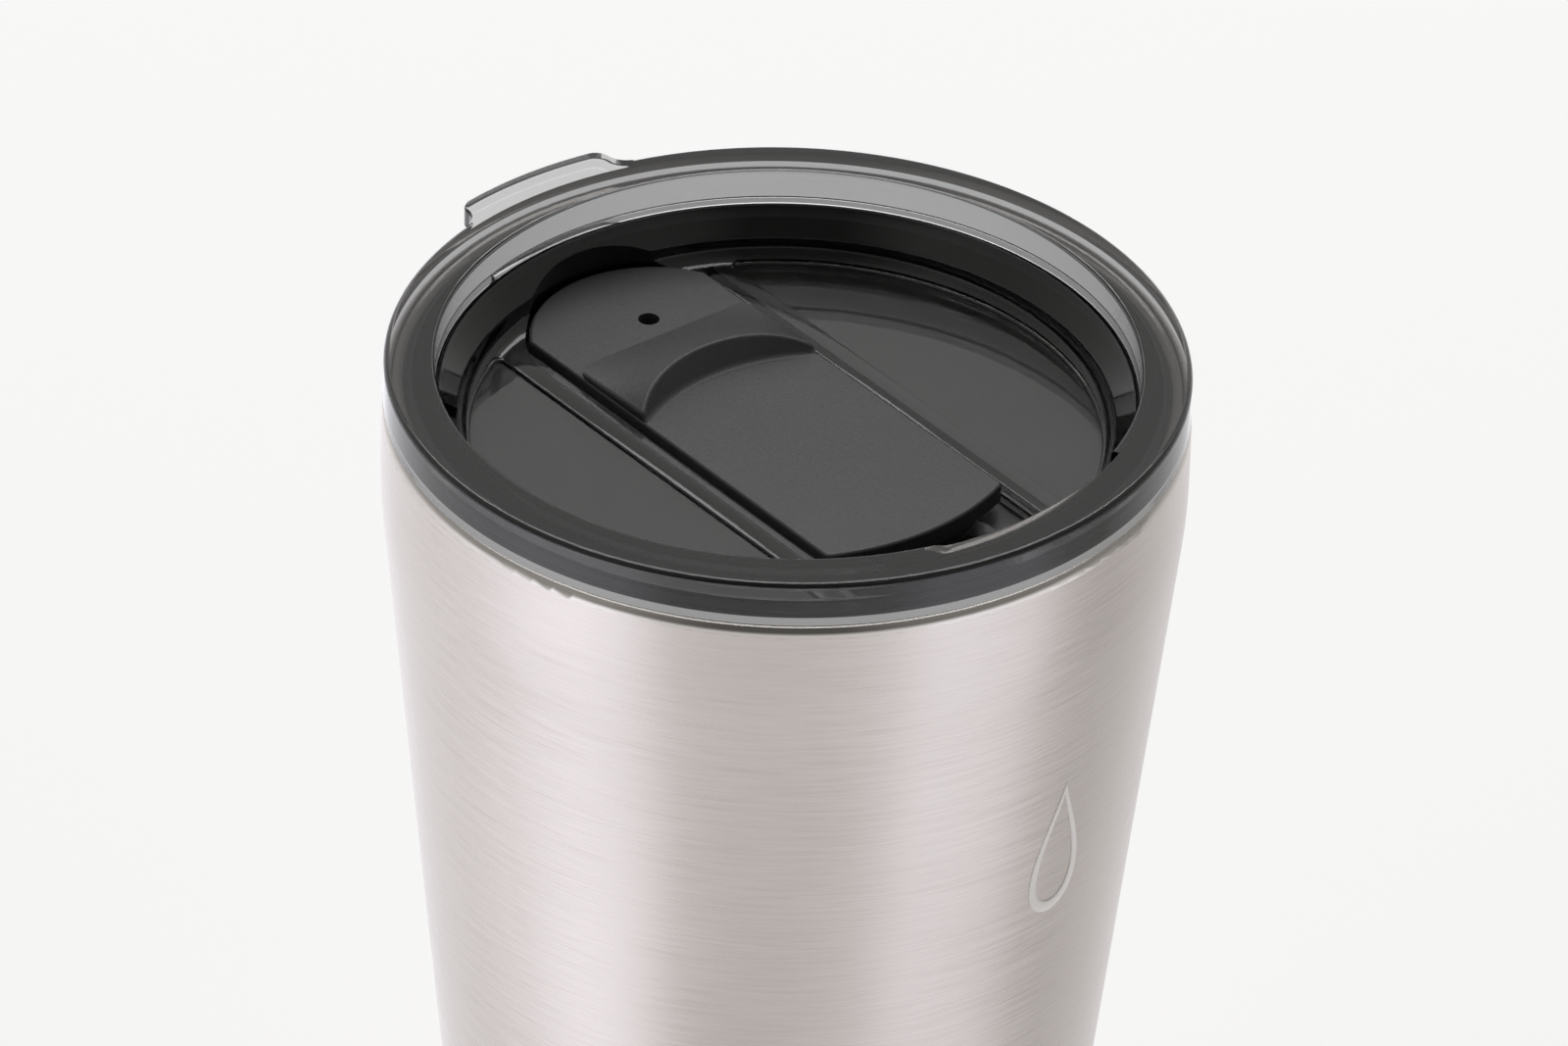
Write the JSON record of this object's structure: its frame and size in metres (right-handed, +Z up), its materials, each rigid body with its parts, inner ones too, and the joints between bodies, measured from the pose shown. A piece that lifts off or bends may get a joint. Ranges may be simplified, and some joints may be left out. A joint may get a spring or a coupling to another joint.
{
  "type": "insulated tumbler with slider lid",
  "caption": "Double-wall steel tumbler, tapered to a small base, with a clear smoke-tinted press-in lid, a thumb tab and a sliding closure over the drinking hole.",
  "frame": {"origin": "centre of the base, on the surface the tumbler stands on", "axes": "+Z up through the lid; the drinking side faces -Y and the lid's thumb tab points along +Y"},
  "size_m": [0.0892, 0.0922, 0.1449],
  "materials": {
    "brushed_steel": "brushed",
    "getter_alloy": "matte",
    "solder": "satin",
    "smoke_plastic": "gloss",
    "charcoal_plastic": "matte",
    "dark_silicone": "matte"
  },
  "bodies": {
    "cup": {"outer_shell": "brushed_steel", "inner_liner": "brushed_steel", "outer_bottom": "brushed_steel", "base_cap": "brushed_steel", "getter_clip": "brushed_steel", "getter_pellet": "getter_alloy", "vacuum_seal": "solder"},
    "lid": {"lid_body": "smoke_plastic", "lid_gasket": "dark_silicone"},
    "slider": {"slider": "charcoal_plastic", "slider_seal": "dark_silicone"}
  },
  "joints": [
    {"name": "lid_lift", "type": "slide", "parent": "cup", "child": "lid", "axis": [0, 0, 1], "range_m": [0, 0.04]},
    {"name": "slider_slide", "type": "slide", "parent": "lid", "child": "slider", "axis": [0, -1, 0], "range_m": [0, 0.01]}
  ]
}
